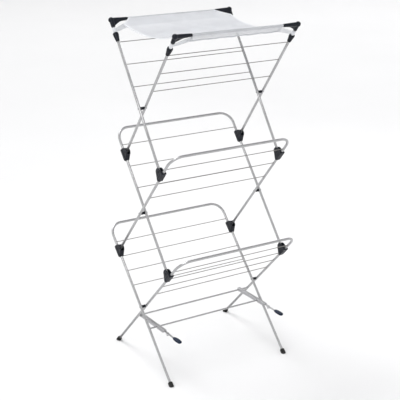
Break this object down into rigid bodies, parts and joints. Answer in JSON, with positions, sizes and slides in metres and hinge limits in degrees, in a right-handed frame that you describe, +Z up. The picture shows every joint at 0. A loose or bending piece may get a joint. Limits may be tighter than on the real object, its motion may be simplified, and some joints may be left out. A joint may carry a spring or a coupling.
{
  "type": "folding clothes drying rack",
  "caption": "Tiered folding clothes drying rack: scissor-linked steel tube frames with cross wires, a fabric mesh shelf between the top bars, rubber feet and lock arms.",
  "frame": {"origin": "on the floor, at the middle of the rack's footprint", "axes": "+Z up, +X to the right as seen from the front, -Y towards the front, where the lock grips are"},
  "size_m": [0.6348, 0.5586, 1.4682],
  "materials": {
    "painted_tube": "satin light grey powder coat",
    "bright_steel": "plain plated steel",
    "black_plastic": "black moulded plastic, satin",
    "foot_rubber": "black rubber",
    "grip_plastic": "dark navy soft plastic",
    "shelf_fabric": "white open-weave mesh with hemmed edges"
  },
  "bodies": {
    "lower_back": {"lower_back_frame": "painted_tube", "front_left_foot": "foot_rubber", "front_right_foot": "foot_rubber", "lower_back_left_clamp": "black_plastic", "lower_back_right_clamp": "black_plastic", "lower_back_left_clamp_pin": "bright_steel", "lower_back_right_clamp_pin": "bright_steel", "lower_left_spacer": "black_plastic", "lower_right_spacer": "black_plastic", "lower_left_rivet": "bright_steel", "lower_right_rivet": "bright_steel"},
    "lower_front": {"lower_front_frame": "painted_tube", "back_left_foot": "foot_rubber", "back_right_foot": "foot_rubber", "lower_front_left_clamp": "black_plastic", "lower_front_right_clamp": "black_plastic", "lower_front_left_clamp_pin": "bright_steel", "lower_front_right_clamp_pin": "bright_steel"},
    "middle_front": {"middle_front_frame": "painted_tube", "upper_front_left_clamp": "black_plastic", "upper_front_right_clamp": "black_plastic", "upper_front_left_clamp_pin": "bright_steel", "upper_front_right_clamp_pin": "bright_steel"},
    "middle_back": {"middle_back_frame": "painted_tube", "upper_back_left_clamp": "black_plastic", "upper_back_right_clamp": "black_plastic", "upper_back_left_clamp_pin": "bright_steel", "upper_back_right_clamp_pin": "bright_steel", "middle_left_spacer": "black_plastic", "middle_right_spacer": "black_plastic", "middle_left_rivet": "bright_steel", "middle_right_rivet": "bright_steel"},
    "upper_front": {"upper_front_frame": "painted_tube", "upper_front_bar": "painted_tube", "front_left_corner_cap": "black_plastic", "front_right_corner_cap": "black_plastic", "front_left_leg_collar": "black_plastic", "front_right_leg_collar": "black_plastic", "upper_left_spacer": "black_plastic", "upper_right_spacer": "black_plastic", "upper_left_rivet": "bright_steel", "upper_right_rivet": "bright_steel", "mesh_shelf": "shelf_fabric"},
    "upper_back": {"upper_back_frame": "painted_tube", "upper_back_bar": "painted_tube", "back_left_corner_cap": "black_plastic", "back_right_corner_cap": "black_plastic", "back_left_leg_collar": "black_plastic", "back_right_leg_collar": "black_plastic"},
    "left_lock_arm": {"left_lock_arm": "bright_steel", "left_lock_grip": "grip_plastic"},
    "right_lock_arm": {"right_lock_arm": "bright_steel", "right_lock_grip": "grip_plastic"}
  },
  "joints": [
    {"name": "lower_scissor", "type": "hinge", "parent": "lower_back", "child": "lower_front", "pos_m": [0, 0, 0.26548], "axis": [-1, 0, 0], "range_deg": [0, 64]},
    {"name": "lower_back_clamp_hinge", "type": "hinge", "parent": "lower_back", "child": "middle_front", "pos_m": [0, 0.17292, 0.47673], "axis": [-1, 0, 0], "range_deg": [0, 64]},
    {"name": "lower_front_clamp_hinge", "type": "hinge", "parent": "lower_front", "child": "middle_back", "pos_m": [0, -0.17292, 0.47673], "axis": [1, 0, 0], "range_deg": [0, 64]},
    {"name": "upper_back_clamp_hinge", "type": "hinge", "parent": "middle_back", "child": "upper_front", "pos_m": [0, 0.15698, 0.91134], "axis": [-1, 0, 0], "range_deg": [0, 64]},
    {"name": "upper_scissor", "type": "hinge", "parent": "upper_front", "child": "upper_back", "pos_m": [0, 0, 1.13469], "axis": [1, 0, 0], "range_deg": [0, 64], "deforming": ["mesh_shelf"]},
    {"name": "left_lock_pivot", "type": "hinge", "parent": "lower_front", "child": "left_lock_arm", "pos_m": [-0.262, 0.07022, 0.19149], "axis": [-1, 0, 0], "range_deg": [0, 30]},
    {"name": "right_lock_pivot", "type": "hinge", "parent": "lower_front", "child": "right_lock_arm", "pos_m": [0.262, 0.07022, 0.19149], "axis": [-1, 0, 0], "range_deg": [0, 30]}
  ],
  "couplings": [
    {"joint": "lower_back_clamp_hinge", "follows": "lower_scissor", "ratio": 1},
    {"joint": "lower_front_clamp_hinge", "follows": "lower_scissor", "ratio": 1},
    {"joint": "upper_back_clamp_hinge", "follows": "lower_scissor", "ratio": 1},
    {"joint": "upper_scissor", "follows": "lower_scissor", "ratio": 1}
  ]
}
